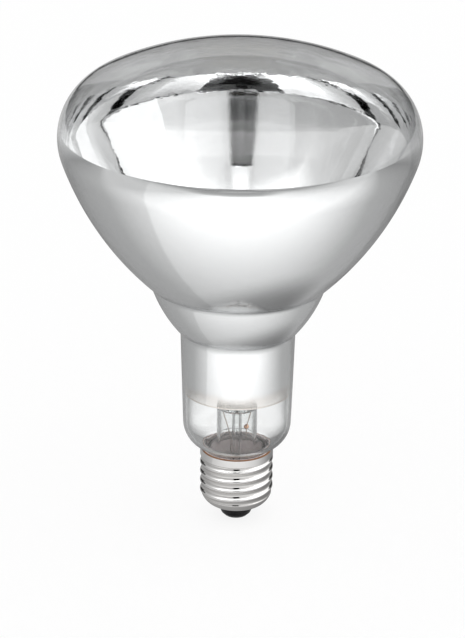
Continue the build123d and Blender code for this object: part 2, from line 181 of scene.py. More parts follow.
def glass_outline(inset):
    """Points (out, up) in millimetres along the glass face, moved in by the inset."""
    spots = []
    for centre, radius, first, last in glass_rounds():
        reach = radius - inset
        steps = max(FEWEST_STEPS, math.ceil(abs(reach * (last - first)) / POINT_SPACING))
        for step in range(steps + 1):
            bearing = first + (last - first) * step / steps
            spot = (centre.x + reach * math.cos(bearing), centre.y + reach * math.sin(bearing))
            if spots:
                spots += between(spots[-1], spot)
            spots.append(spot)
    return spots + [(spots[-1][0], seal_foot)]


print("points along the outer glass face:", len(glass_outline(0)))

# %% [markdown]
# ## Drawing and turning an outline
#
# As by hand: one vertex is extruded from point to point, and the chain is spun round the lamp's
# axis. A Screw modifier could turn the chain too, but spin works in edit mode, right after the
# extrusions, and leaves nothing to apply. It leaves double vertices where it closes and on the
# axis, so they are merged, and the normals are then made to point outwards.

# %% A helper that draws an outline and spins it
TURN_STEPS = 220
SAME_PLACE = 0.001 * MM
GLASS_CREASE = math.radians(35)


def turned_piece(name, spots, steps=TURN_STEPS):
    bpy.ops.object.select_all(action="DESELECT")
    bpy.ops.mesh.primitive_plane_add(size=MM)
    piece = bpy.context.object
    piece.name = name
    bpy.ops.object.mode_set(mode="EDIT")
    bpy.ops.mesh.select_all(action="SELECT")
    bpy.ops.mesh.merge(type="CENTER")
    bpy.ops.transform.translate(value=(spots[0][0] * MM, 0, spots[0][1] * MM))
    for here, there in zip(spots, spots[1:]):
        move = ((there[0] - here[0]) * MM, 0, (there[1] - here[1]) * MM)
        bpy.ops.mesh.extrude_region_move(TRANSFORM_OT_translate={"value": move})
    bpy.ops.mesh.select_all(action="SELECT")
    bpy.ops.mesh.spin(steps=steps, angle=2 * math.pi, center=(0, 0, 0), axis=(0, 0, 1))
    bpy.ops.mesh.select_all(action="SELECT")
    bpy.ops.mesh.remove_doubles(threshold=SAME_PLACE)
    bpy.ops.mesh.normals_make_consistent(inside=False)
    bpy.ops.object.mode_set(mode="OBJECT")
    bpy.ops.object.shade_smooth_by_angle(angle=GLASS_CREASE)
    print(name, "has", len(piece.data.polygons), "faces")
    return piece


# %% [markdown]
# ## The glass bulb
#
# One closed wall, 1 mm thick. A Solidify modifier could thicken a single face, but the rounds give
# the inner face exactly. So the outline runs down the outer face to the seal and back up the inner
# face, and light bends at both faces as it does in real glass.

# %% Turn the glass
GLASS_WALL = 1.0
outer_face = glass_outline(0)
inner_face = glass_outline(GLASS_WALL)
glass_bulb = turned_piece("glass_bulb", outer_face + inner_face[::-1])
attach(glass_bulb, "root")
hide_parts("glass_envelope")

# %% [markdown]
# ## The mirror film
#
# Aluminium vapour settles on the inner glass face of bowl, bulge and upper neck. A mirror material
# on those faces of the glass could stand for it, but the film is a piece of its own in the frame.
# It is a thin closed wall just clear of the glass, because two faces in one place would flicker.
# Its two sides look different: the bare side in the bowl is a clean mirror, and the side that
# is seen through the glass is a little softer, so each side gets its own material slot.

# %% Turn the film
FILM_FOOT_ABOVE_CAP = 22.8
FILM_HEAD_ABOVE_EDGE = 3.3
FILM_GAP = 0.02
FILM_WALL = 0.1

film_foot = CAP_RIM + FILM_FOOT_ABOVE_CAP
film_head = edge_height + FILM_HEAD_ABOVE_EDGE


def film_face(inset):
    """The stretch of the glass outline that the film covers, with its two ends exactly placed."""
    spots = glass_outline(inset)
    kept = []
    for here, there in zip(spots, spots[1:]):
        for height in (film_head, film_foot):
            if here[1] > height >= there[1]:
                share = (here[1] - height) / (here[1] - there[1])
                kept.append((here[0] + (there[0] - here[0]) * share, height))
        if film_foot < there[1] < film_head:
            kept.append(there)
    return kept


film_back = film_face(GLASS_WALL + FILM_GAP)
film_front = film_face(GLASS_WALL + FILM_WALL)
mirror_film = turned_piece("mirror_film", film_back + film_front[::-1] + film_back[:1])
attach(mirror_film, "root")
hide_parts("mirror_coating")

# %% [markdown]
# ## The screw cap
#
# The cap is thin sheet, drawn into a cup and rolled between two thread rollers. The plain cup is
# turned first, and its wall is then pushed in and out along the thread by moving each vertex.
# A screw modifier could wind a thread, but it couldn't let it fade into the rim and the foot.

# %% Turn the plain cup
THREAD_DIAMETER = 26.15
THREAD_PITCH = 25.4 / 7
CREST_ROUND = 0.6
ROOT_ROUND = 1.7
THREAD_FOOT = 8.8
THREAD_HEAD = 24.4
THREAD_FADE = 0.7
THREAD_PHASE = -20.0
CAP_FOOT = 5.0
CAP_FOOT_RADIUS = 12.4
CAP_MOUTH_RADIUS = 7.0
CAP_BULGE = 0.9
CAP_FOOT_RINGS = 16
THREAD_RINGS = 150
RIM_STEP = 0.4
CAP_TURN_STEPS = 168

crest_centre = THREAD_DIAMETER / 2 - CREST_ROUND
root_centre = crest_centre + math.sqrt((CREST_ROUND + ROOT_ROUND) ** 2 - (THREAD_PITCH / 2) ** 2)
mean_radius = (crest_centre + CREST_ROUND + root_centre - ROOT_ROUND) / 2
crest_share = CREST_ROUND / (CREST_ROUND + ROOT_ROUND)


def cup_outline():
    mouth = Vector((CAP_MOUTH_RADIUS + CAP_SHEET, CAP_FOOT))
    side = Vector((CAP_FOOT_RADIUS, THREAD_FOOT))
    across = (side - mouth).normalized()
    outward = Vector((across.y, -across.x))
    spots = [(CAP_MOUTH_RADIUS, CAP_FOOT)]
    for step in range(CAP_FOOT_RINGS):
        share = step / CAP_FOOT_RINGS
        spot = mouth.lerp(side, share) + outward * CAP_BULGE * 4 * share * (1 - share)
        spots.append((spot.x, spot.y))
    for step in range(THREAD_RINGS + 1):
        spots.append((mean_radius, THREAD_FOOT + (THREAD_HEAD - THREAD_FOOT) * step / THREAD_RINGS))
    return spots + [(CAP_RIM_RADIUS, THREAD_HEAD + RIM_STEP), (CAP_RIM_RADIUS, CAP_RIM)]


screw_cap = turned_piece("screw_cap", cup_outline(), steps=CAP_TURN_STEPS)

# %% Roll the thread into its wall
ON_END = 0.001


def rolled_radius(rise):
    """Radius of the round thread at a rise from one of its crests."""
    rise = abs((rise + THREAD_PITCH / 2) % THREAD_PITCH - THREAD_PITCH / 2)
    if rise < crest_share * THREAD_PITCH / 2:
        return crest_centre + math.sqrt(CREST_ROUND**2 - rise**2)
    return root_centre - math.sqrt(ROOT_ROUND**2 - (THREAD_PITCH / 2 - rise) ** 2)


def fade(distance):
    """A soft step from 0 to 1 over the stretch in which the thread starts or ends."""
    share = min(max(distance / THREAD_FADE, 0), 1)
    return share * share * (3 - 2 * share)


for vertex in screw_cap.data.vertices:
    out = math.hypot(vertex.co.x, vertex.co.y) / MM
    up = vertex.co.z / MM
    if not THREAD_FOOT - ON_END <= up <= THREAD_HEAD + ON_END:
        continue
    angle = math.degrees(math.atan2(vertex.co.y, vertex.co.x))
    low = fade(up - THREAD_FOOT)
    high = fade(THREAD_HEAD - up)
    to_foot = (CAP_FOOT_RADIUS - mean_radius) * (1 - low)
    to_rim = (CAP_RIM_RADIUS - mean_radius) * (1 - high)
    plain = mean_radius + to_foot + to_rim
    rise = up - THREAD_FOOT - THREAD_PITCH * (angle + THREAD_PHASE) / 360
    rolled = plain + low * high * (rolled_radius(rise) - mean_radius)
    vertex.co.x *= rolled / out
    vertex.co.y *= rolled / out
screw_cap.data.update()
thread_depth = crest_centre + CREST_ROUND - root_centre + ROOT_ROUND
print("thread depth in millimetres:", round(thread_depth, 2))

# %% Give it the thickness of the sheet
CAP_CREASE = math.radians(50)
sheet = screw_cap.modifiers.new("sheet", "SOLIDIFY")
sheet.thickness = CAP_SHEET * MM
sheet.offset = -1
bpy.ops.object.modifier_apply(modifier=sheet.name)
bpy.ops.object.shade_smooth_by_angle(angle=CAP_CREASE)
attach(screw_cap, "root")
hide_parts("cap_shell")
print("screw cap with its sheet has", len(screw_cap.data.polygons), "faces")

# %% [markdown]
# ## The heating coil
#
# The filament is tungsten wire wound on a rod and then bent into an open ring on its hooks. It
# could be a bevelled curve, but that needs a point for every bit of a turn. A screw modifier winds
# the wire straight up first. Each vertex is then carried from the straight coil on to the ring:
# its height becomes a bearing round the lamp's axis.

# %% Wind the wire
COIL_RADIUS = 0.7
WIRE_RADIUS = 0.11
WIRE_PITCH = 0.34
RING_RADIUS = 15.0
RING_HEIGHT = 92.0
HOOKED_ARC = 250.0
LEAD_DIAMETER = 0.9
WIRE_SIDES = 6
WIRE_STEPS = 12
WIRE_CREASE = math.radians(50)

ring_arc = HOOKED_ARC + 2 * math.degrees(LEAD_DIAMETER / RING_RADIUS)
turns = int(RING_RADIUS * math.radians(ring_arc) / WIRE_PITCH)
coil_length = turns * WIRE_PITCH
bpy.ops.object.select_all(action="DESELECT")
upright = (math.pi / 2, 0, 0)
bpy.ops.mesh.primitive_circle_add(vertices=WIRE_SIDES, radius=WIRE_RADIUS * MM, rotation=upright)
heating_coil = bpy.context.object
heating_coil.name = "heating_coil"
bpy.ops.object.transform_apply(rotation=True)
bpy.ops.object.mode_set(mode="EDIT")
bpy.ops.mesh.select_all(action="SELECT")
bpy.ops.transform.translate(value=((COIL_RADIUS - WIRE_RADIUS) * MM, 0, 0))
bpy.ops.object.mode_set(mode="OBJECT")
winding = heating_coil.modifiers.new("winding", "SCREW")
winding.screw_offset = WIRE_PITCH * MM
winding.iterations = turns
winding.steps = WIRE_STEPS
winding.render_steps = WIRE_STEPS
bpy.ops.object.modifier_apply(modifier=winding.name)
print("straight coil in millimetres:", round(coil_length, 1))

# %% Bend it into the ring, with its gap at the back
BACK_BEARING = 90.0
ring_start = BACK_BEARING + (360 - ring_arc) / 2
for vertex in heating_coil.data.vertices:
    bearing = math.radians(ring_start + ring_arc * (vertex.co.z / MM) / coil_length)
    out = RING_RADIUS * MM + vertex.co.x
    up = RING_HEIGHT * MM + vertex.co.y
    vertex.co = (out * math.cos(bearing), out * math.sin(bearing), up)
bpy.ops.object.mode_set(mode="EDIT")
bpy.ops.mesh.select_all(action="SELECT")
bpy.ops.mesh.fill_holes(sides=0)
bpy.ops.mesh.select_all(action="SELECT")
bpy.ops.mesh.normals_make_consistent(inside=False)
bpy.ops.object.mode_set(mode="OBJECT")
bpy.ops.object.shade_smooth_by_angle(angle=WIRE_CREASE)
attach(heating_coil, "root")
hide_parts("filament_coil")
print("heating coil:", turns, "turns,", len(heating_coil.data.polygons), "faces")

# %% [markdown]
# ## Shared effects
#
# Two effects come back in nearly every finish, so each is a node group. *Mottle* is the uneven
# cloud and the fine grain that any cast, plated or fused surface has. *Turning marks* are the
# fine lines that run round a piece that was spun, rolled or drawn, so the pattern depends on
# radius and height and only a little on the bearing.

# %% Helpers for node trees


def new_material(name):
    material = bpy.data.materials.new(name)
    material.use_nodes = True
    tree = material.node_tree
    return material, tree, tree.nodes["Principled BSDF"]


def add(tree, kind, links=None, **options):
    """A new node with its options set, and its inputs linked or set by name or number."""
    node = tree.nodes.new(kind)
    for key, value in options.items():
        setattr(node, key, value)
    for key, source in (links or {}).items():
        if isinstance(source, bpy.types.NodeSocket):
            tree.links.new(source, node.inputs[key])
        else:
            node.inputs[key].default_value = source
    return node


def remap(tree, source, low, high, to_low, to_high):
    """A value moved from one range to another, with a soft start and end."""
    names = ("Value", "From Min", "From Max", "To Min", "To Max")
    links = dict(zip(names, (source, low, high, to_low, to_high)))
    return add(tree, "ShaderNodeMapRange", links, interpolation_type="SMOOTHSTEP").outputs["Result"]


def blend(tree, share, first, second):
    """A colour between two others. Inputs 0, 6 and 7 are the share and the two colours."""
    return add(tree, "ShaderNodeMix", {0: share, 6: first, 7: second}, data_type="RGBA").outputs[2]


def shade(grey, warmth=0.0):
    return (grey * (1 + warmth), grey, grey * (1 - warmth), 1)


def place(tree):
    return add(tree, "ShaderNodeTexCoord").outputs["Object"]


def new_group(name, inputs, outputs):
    group = bpy.data.node_groups.new(name, "ShaderNodeTree")
    for label, kind in inputs:
        group.interface.new_socket(label, in_out="INPUT", socket_type=kind)
    for label in outputs:
        group.interface.new_socket(label, in_out="OUTPUT", socket_type="NodeSocketFloat")
    given = group.nodes.new("NodeGroupInput").outputs
    made = group.nodes.new("NodeGroupOutput").inputs
    return group, given, made


def math_step(tree, operation, *values):
    """The value of a Math node. Each input is linked or set."""
    return add(tree, "ShaderNodeMath", dict(enumerate(values)), operation=operation).outputs[0]


def way_to(tree, where, spot):
    """The distance from a spot."""
    links = {0: where, 1: spot}
    return add(tree, "ShaderNodeVectorMath", links, operation="DISTANCE").outputs["Value"]


# %% Mottle
SOCKETS = [("Place", "NodeSocketVector"), ("Scale", "NodeSocketFloat")]
GRAIN_FINENESS = 9.0
mottle, given, made = new_group("mottle", SOCKETS, ["Cloud", "Grain"])
links = {"Vector": given["Place"], "Scale": given["Scale"], "Detail": 3.0}
cloud = add(mottle, "ShaderNodeTexNoise", links)
finer = math_step(mottle, "MULTIPLY", given["Scale"], GRAIN_FINENESS)
links = {"Vector": given["Place"], "Scale": finer, "Detail": 2.0}
grain = add(mottle, "ShaderNodeTexNoise", links)
mottle.links.new(cloud.outputs["Fac"], made["Cloud"])
mottle.links.new(grain.outputs["Fac"], made["Grain"])
print(mottle.name, "has", len(mottle.nodes), "nodes")

# %% Turning marks
LINE_DRIFT = 0.0006
turning_marks, given, made = new_group("turning_marks", SOCKETS, ["Marks", "Radius"])
links = {0: given["Place"], 1: (1, 1, 0)}
flat = add(turning_marks, "ShaderNodeVectorMath", links, operation="MULTIPLY")
radius = add(turning_marks, "ShaderNodeVectorMath", {0: flat.outputs[0]}, operation="LENGTH")
split = add(turning_marks, "ShaderNodeSeparateXYZ", {0: given["Place"]}).outputs
bearing = math_step(turning_marks, "ARCTAN2", split["Y"], split["X"])
slow = math_step(turning_marks, "MULTIPLY", bearing, LINE_DRIFT)
links = {0: radius.outputs["Value"], 1: slow, 2: split["Z"]}
rolled = add(turning_marks, "ShaderNodeCombineXYZ", links)
links = {"Vector": rolled.outputs[0], "Scale": given["Scale"], "Detail": 4.0}
lines = add(turning_marks, "ShaderNodeTexNoise", links)
turning_marks.links.new(lines.outputs["Fac"], made["Marks"])
turning_marks.links.new(radius.outputs["Value"], made["Radius"])
print(turning_marks.name, "has", len(turning_marks.nodes), "nodes")

# %% Helpers that use an effect, lay a bump and dress CAD nodes


def use(tree, group, where, scale):
    node = tree.nodes.new("ShaderNodeGroup")
    node.node_tree = group
    tree.links.new(where, node.inputs["Place"])
    node.inputs["Scale"].default_value = scale
    return node.outputs


def bump(tree, shader, *layers):
    """Relief from layers (height, strength, distance), each laid on the one before it."""
    below = None
    for height, strength, distance in layers:
        links = {"Height": height, "Strength": strength, "Distance": distance}
        if below is not None:
            links["Normal"] = below
        below = add(tree, "ShaderNodeBump", links).outputs["Normal"]
    tree.links.new(below, shader.inputs["Normal"])


def dress(material, *names):
    for name in names:
        nodes[name].data.materials.clear()
        nodes[name].data.materials.append(material)


# %% [markdown]
# ## Clear glass
#
# The wall was blown, so it isn't quite even: slow waves bend what is seen through it and make the
# contour lines at the edge of the dome wander. Drawn tube (the stem, the exhaust tube and the rod)
# has fine lines instead. It also bends light less here than real glass, which keeps the stem's many
# walls pale. Handling leaves a faint film that only shows in the roughness. A tint in the base
# colour would be the same at every thickness, so the grey of the glass is absorption: it darkens
# only where the view runs along the wall, at the outline.

# %% Blown glass and drawn glass
DRAWING_LINES = 900.0
DEPTH_TINT = {"Color": (0.30, 0.34, 0.36, 1), "Density": 64.0}


def glass(name, wave_scale, wave_height, mark_height, bend, tint):
    material, tree, shader = new_material(name)
    where = place(tree)
    waves = use(tree, mottle, where, wave_scale)
    marks = use(tree, turning_marks, where, DRAWING_LINES)
    shader.inputs["Base Color"].default_value = tint
    shader.inputs["IOR"].default_value = bend
    shader.inputs["Transmission Weight"].default_value = 1.0
    tree.links.new(remap(tree, waves["Grain"], 0.5, 0.75, 0.0, 0.012), shader.inputs["Roughness"])
    bump(tree, shader, (waves["Cloud"], wave_height, 0.002), (marks["Marks"], mark_height, 0.0002))
    depth = add(tree, "ShaderNodeVolumeAbsorption", DEPTH_TINT)
    tree.links.new(depth.outputs[0], tree.nodes["Material Output"].inputs["Volume"])
    return material


BLOWN = {"wave_scale": 120.0, "wave_height": 0.02, "mark_height": 0.01, "bend": 1.5}
DRAWN = {"wave_scale": 160.0, "wave_height": 0.05, "mark_height": 0.06, "bend": 1.3}
blown_glass = glass("blown_glass", tint=(0.99, 0.993, 0.992, 1), **BLOWN)
drawn_glass = glass("drawn_glass", tint=(0.98, 0.985, 0.982, 1), **DRAWN)
glass_bulb.data.materials.append(blown_glass)
dress(drawn_glass, "stem_glass", "exhaust_tube", "support_rod")
print("glass:", blown_glass.name, drawn_glass.name)

# %% [markdown]
# ## Mirror film
#
# Evaporated aluminium takes the gloss of the glass under it. The bare side is the cleaner mirror.
# Where the vapour was cut off in the neck, the film thins out over a few millimetres: it turns
# pale brown, then lets light through, and the last edge is a fine line. Alpha does that best,
# because the film has no form of its own there.

# %% Film with a thin lower end, placed in millimetres above its foot
EDGE_LINE = (0.2, 0.8)
THIN_STRETCH = (3.2, 9.2)
FADE_WANDER = 6.0


def above_foot(stretch):
    return [(film_foot + height) * MM for height in stretch]


def film(name, rough, ripple_height):
    material, tree, shader = new_material(name)
    where = place(tree)
    cloud = use(tree, mottle, where, 70.0)
    ripple = use(tree, mottle, where, 190.0)
    height = add(tree, "ShaderNodeSeparateXYZ", {0: where}).outputs["Z"]
    uneven = math_step(tree, "MULTIPLY_ADD", cloud["Cloud"], FADE_WANDER * MM, height)
    thin = remap(tree, uneven, *above_foot(THIN_STRETCH), 0.0, 1.0)
    edge = remap(tree, height, *above_foot(EDGE_LINE), 0.85, 0.0)
    clear = remap(tree, thin, 0.0, 1.0, 0.30, 1.0)
    solid = math_step(tree, "MAXIMUM", clear, edge)
    bright = blend(tree, cloud["Grain"], (0.955, 0.955, 0.96, 1), (0.985, 0.985, 0.985, 1))
    tree.links.new(blend(tree, thin, (0.93, 0.88, 0.83, 1), bright), shader.inputs["Base Color"])
    tree.links.new(solid, shader.inputs["Alpha"])
    shader.inputs["Metallic"].default_value = 1.0
    haze = remap(tree, cloud["Cloud"], 0.3, 0.7, rough * 0.7, rough * 1.4)
    tree.links.new(haze, shader.inputs["Roughness"])
    bump(tree, shader, (ripple["Cloud"], ripple_height, 0.0002))
    return material


film_bare = film("film_bare", rough=0.018, ripple_height=0.1)
film_behind_glass = film("film_behind_glass", rough=0.07, ripple_height=0.05)
mirror_film.data.materials.append(film_behind_glass)
mirror_film.data.materials.append(film_bare)
for face in mirror_film.data.polygons:
    inward = face.center.x * face.normal.x + face.center.y * face.normal.y < 0
    face.material_index = 1 if inward else 0
print("film faces on the bare side:", sum(face.material_index for face in mirror_film.data.polygons))

# %% [markdown]
# ## Nickel plate on the cap
#
# Rolled sheet with a thin bright plate. The rollers leave fine lines round the cap. The roots of
# the thread are painted darker than the crests: painted shade in the hollows of the thread. A mask
# of sharp edges would miss crests this round, so the radius tells root from crest.

# %% Nickel plate
# Radii over which the painted shade in the thread roots gives way to the plate colour of the crests
ROOT_SHADE_RADII = (12.2 * MM, 12.8 * MM)
nickel_plate, tree, shader = new_material("nickel_plate")
where = place(tree)
cloud = use(tree, mottle, where, 240.0)
marks = use(tree, turning_marks, where, 2600.0)
crest = remap(tree, marks["Radius"], *ROOT_SHADE_RADII, 0.0, 1.0)
crest_colour = blend(tree, cloud["Cloud"], shade(0.80, 0.015), shade(0.90, 0.01))
# The roots get a darker grey: painted shade, not a colour of the plate
tree.links.new(blend(tree, crest, shade(0.74, 0.02), crest_colour), shader.inputs["Base Color"])
shader.inputs["Metallic"].default_value = 1.0
tree.links.new(remap(tree, marks["Marks"], 0.3, 0.7, 0.03, 0.08), shader.inputs["Roughness"])
bump(tree, shader, (marks["Marks"], 0.02, 0.0001))
screw_cap.data.materials.append(nickel_plate)
print("nickel plate:", len(tree.nodes), "nodes")

# %% [markdown]
# ## Wires, contact, cement and insulator
#
# The smaller pieces share one recipe: two colours mixed by the mottle, a range of roughness and a
# little relief. The numbers make the difference between drawn wire, a solder bead that froze with
# a crystalline skin, baked cement with its sand, and black glass that was poured hot.

# %% One recipe for the small pieces
MARK_FINENESS = 6.0


def finish(name, dark, light, rough, scale, relief, metal=0.0, lines=0.0):
    material, tree, shader = new_material(name)
    where = place(tree)
    cloud = use(tree, mottle, where, scale)
    marks = use(tree, turning_marks, where, scale * MARK_FINENESS)
    share = remap(tree, cloud["Cloud"], 0.35, 0.65, 0.0, 1.0)
    tree.links.new(blend(tree, share, dark, light), shader.inputs["Base Color"])
    tree.links.new(remap(tree, cloud["Grain"], 0.3, 0.7, *rough), shader.inputs["Roughness"])
    shader.inputs["Metallic"].default_value = metal
    bump(tree, shader, (cloud["Grain"], relief, 0.0003), (marks["Marks"], lines, 0.0002))
    return material


# %% Plain finishes, each with a dark and a light colour
NICKEL = (shade(0.42, 0.03), shade(0.6, 0.03))
MOLYBDENUM = (shade(0.3), shade(0.45))
TUNGSTEN = (shade(0.16), shade(0.28))
SOLDER = (shade(0.38), shade(0.62))
RED_COPPER = ((0.5, 0.14, 0.1, 1), (0.72, 0.25, 0.17, 1))
BRASS = ((0.55, 0.4, 0.18, 1), (0.76, 0.6, 0.32, 1))
MICA = ((0.5, 0.47, 0.4, 1), (0.74, 0.71, 0.63, 1))
BLACK = ((0.003, 0.003, 0.004, 1), (0.010, 0.009, 0.010, 1))
WIRE = {"scale": 500.0, "relief": 0.1, "metal": 1.0}
PLATE = {"scale": 350.0, "relief": 0.1, "metal": 1.0, "lines": 0.3}
nickel_wire = finish("nickel_wire", *NICKEL, rough=(0.2, 0.35), **WIRE)
molybdenum_wire = finish("molybdenum_wire", *MOLYBDENUM, rough=(0.25, 0.4), **WIRE)
tungsten = finish("tungsten", *TUNGSTEN, rough=(0.3, 0.45), scale=700.0, relief=0.1, metal=1.0)
solder = finish("solder", *SOLDER, rough=(0.22, 0.5), scale=900.0, relief=0.35, metal=1.0)
seal_copper = finish("seal_copper", *RED_COPPER, rough=(0.25, 0.4), **WIRE)
contact_brass = finish("contact_brass", *BRASS, rough=(0.2, 0.38), **PLATE)
mica = finish("mica", *MICA, rough=(0.15, 0.45), scale=140.0, relief=0.1)
black_glass = finish("black_glass", *BLACK, rough=(0.12, 0.3), scale=260.0, relief=0.12)
black_glass.node_tree.nodes["Principled BSDF"].inputs["Specular IOR Level"].default_value = 0.25
print("materials so far:", len(bpy.data.materials))

# %% Cement that baked brown at the rim of the cap, and copper that was tinned beyond its joint
BAKED = (12.35 * MM, 12.5 * MM)
BROWN = (0.30, 0.13, 0.05, 1)
JOINT = (3.4 * MM, 0.0, 35.0 * MM)
TINNED = (0.9 * MM, 1.6 * MM)


def change_colour(material, share_of, second):
    """Mixes a second colour over the first one, where a share says so."""
    tree = material.node_tree
    colour = tree.nodes["Principled BSDF"].inputs["Base Color"]
    first = colour.links[0].from_socket
    tree.links.new(blend(tree, share_of(tree), first, second), colour)


def at_rim(tree):
    return remap(tree, use(tree, turning_marks, place(tree), 500.0)["Radius"], *BAKED, 0.0, 1.0)


def past_joint(tree):
    return remap(tree, way_to(tree, place(tree), JOINT), *TINNED, 0.0, 0.85)


SAND = ((0.86, 0.76, 0.755, 1), (0.96, 0.88, 0.875, 1))
cement = finish("cement", *SAND, rough=(0.6, 0.9), scale=420.0, relief=0.5)
change_colour(cement, at_rim, BROWN)
PINK_COPPER = ((0.62, 0.3, 0.17, 1), (0.93, 0.55, 0.36, 1))
copper = finish("copper", *PINK_COPPER, rough=(0.2, 0.4), scale=400.0, relief=0.15, metal=1.0)
change_colour(copper, past_joint, shade(0.5, 0.05))
print("finishes with a second colour:", cement.name, copper.name)

# %% Dress the pieces
heating_coil.data.materials.append(tungsten)
dress(nickel_wire, "inner_lead_left", "inner_lead_right")
dress(molybdenum_wire, *[f"filament_support_{number}" for number in range(1, 5)])
dress(copper, "contact_lead", "shell_lead")
dress(seal_copper, "seal_wire_left", "seal_wire_right")
dress(solder, "contact_solder", "rim_solder")
dress(contact_brass, "contact_plate")
dress(cement, "cap_cement")
dress(black_glass, "cap_insulator")
dress(mica, "heat_shield")
print("materials:", len(bpy.data.materials))

# %% [markdown]
# ## Floor
#
# White paper. Lit paper alone would turn grey round the lamp, and an even white would lose the
# shadow. So what the camera sees is mostly even white, and the rest is lit paper.

# %% Floor
FLOOR_SIZE = 6.0
FLOOR_DROP = 0.0001
PLAIN_WHITE = 0.85


def show(tree, surface):
    tree.links.new(surface, tree.nodes["Material Output"].inputs["Surface"])


bpy.ops.object.select_all(action="DESELECT")
bpy.ops.mesh.primitive_plane_add(size=FLOOR_SIZE, location=(0, 0, -FLOOR_DROP))
floor = bpy.context.object
floor.name = "floor"
floor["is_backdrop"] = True
paper, tree, shader = new_material("paper")
shader.inputs["Base Color"].default_value = shade(0.97)
shader.inputs["Roughness"].default_value = 0.9
shader.inputs["Specular IOR Level"].default_value = 0.0
path = add(tree, "ShaderNodeLightPath").outputs
mirrored = math_step(tree, "MAXIMUM", path["Is Glossy Ray"], path["Is Transmission Ray"])
seen = math_step(tree, "MAXIMUM", path["Is Camera Ray"], mirrored)
share = math_step(tree, "MULTIPLY", seen, PLAIN_WHITE)
white = add(tree, "ShaderNodeEmission")
links = {0: share, 1: shader.outputs[0], 2: white.outputs[0]}
show(tree, add(tree, "ShaderNodeMixShader", links).outputs[0])
floor.data.materials.append(paper)
print("floor:", FLOOR_SIZE, "metres square")

# %% [markdown]
# ## What the mirror sees
#
# A mirror has no look of its own: it shows the room. The paper is brightest in front of the lamp
# and falls off to the sides and behind it. The lamp's own shade lies round its foot, with a light
# spot behind it, and a second sheet starts along a slanted line on the left. At the front the room
# has a dark gap where the camera stands, with a lit head above it and a low grey rail before it.
# The walls beside the gap are brighter on the right. At the back a low grey wall stands under a
# dark one, between two dark corners, and a soft box hangs overhead. Real walls and lamps would also
# tint and shade the other surfaces, so these are cards that only glass and metal see.

# %% Helpers for cards


def new_card(name, location, size, turn=(0, 0, 0)):
    bpy.ops.object.select_all(action="DESELECT")
    rotation = [math.radians(angle) for angle in turn]
    bpy.ops.mesh.primitive_plane_add(size=1, location=location, rotation=rotation)
    card = bpy.context.object
    card.name = name
    card.scale = (size[0], size[1], 1)
    bpy.ops.object.transform_apply(location=True, rotation=True, scale=True)
    card.visible_camera = False
    card.visible_diffuse = False
    card.visible_shadow = False
    card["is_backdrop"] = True
    material = bpy.data.materials.new(name)
    material.use_nodes = True
    material.node_tree.nodes.remove(material.node_tree.nodes["Principled BSDF"])
    card.data.materials.append(material)
    return material.node_tree


def ramp(tree, source, stops):
    """Greys along a value, from stops (value, grey), with a straight run between each two."""
    low = stops[0][0]
    high = stops[-1][0]
    links = {"Value": source, "From Min": low, "From Max": high}
    share = add(tree, "ShaderNodeMapRange", links).outputs["Result"]
    node = add(tree, "ShaderNodeValToRGB", {"Fac": share})
    elements = node.color_ramp.elements
    for spot, _ in stops[1:-1]:
        elements.new((spot - low) / (high - low))
    for element, (spot, grey) in zip(elements, stops):
        element.position = (spot - low) / (high - low)
        element.color = shade(grey)
    return node.outputs["Color"]


def times(tree, first, second):
    return math_step(tree, "MULTIPLY", first, second)


# %% Tones of the paper, by places in metres
DEPTH_TONES = [(-1.6, 0.3), (-0.7, 0.86), (-0.3, 1.0), (-0.12, 0.95)]
DEPTH_TONES += [(0.02, 0.45), (0.25, 0.3), (0.5, 0.6), (0.7, 0.5)]
AHEAD_TONES = [(-0.7, 0.6), (-0.36, 0.6), (-0.12, 0.99), (0.11, 1.0), (0.44, 0.69), (0.7, 0.55)]
BEHIND_TONES = [(-0.7, 0.98), (-0.3, 1.0), (0.0, 0.8), (0.7, 0.72)]
AHEAD_TO_BEHIND = (-0.14, 0.02)
SHEET_WAY = (0.585, -0.81, 0)
SHEET_EDGE = (-0.0228, -0.0212)
SHADE_PLACE = (0.02, 0.02, 0)
SHADE_REACH = (0.02, 0.066)
SPOT_PLACE = (0, 0.085, 0)
SPOT_REACH = (0.02, 0.045)
CARD_SIZE = 5.0
CARD_HEIGHT = 0.0004
PAPER_LIGHT = 1.3

tree = new_card("paper_tones", (0, 0, CARD_HEIGHT), (CARD_SIZE, CARD_SIZE))
where = place(tree)
split = add(tree, "ShaderNodeSeparateXYZ", {0: where}).outputs
depth = ramp(tree, split["Y"], DEPTH_TONES)
ahead = remap(tree, split["Y"], *AHEAD_TO_BEHIND, 1.0, 0.0)
behind_tone = ramp(tree, split["X"], BEHIND_TONES)
ahead_tone = ramp(tree, split["X"], AHEAD_TONES)
side = blend(tree, ahead, behind_tone, ahead_tone)
links = {0: where, 1: SHEET_WAY}
slant = add(tree, "ShaderNodeVectorMath", links, operation="DOT_PRODUCT").outputs["Value"]
sheet = remap(tree, slant, *SHEET_EDGE, 0.84, 1.0)
own_shade = remap(tree, way_to(tree, where, SHADE_PLACE), *SHADE_REACH, 0.48, 1.0)
spot = remap(tree, way_to(tree, where, SPOT_PLACE), *SPOT_REACH, 0.8, 0.0)
light = times(tree, times(tree, depth, side), times(tree, sheet, own_shade))
light = math_step(tree, "MAXIMUM", light, spot)
show(tree, add(tree, "ShaderNodeEmission", {"Color": light, "Strength": PAPER_LIGHT}).outputs[0])
print("tones of the paper:", len(tree.nodes), "nodes")

# %% A helper for upright cards


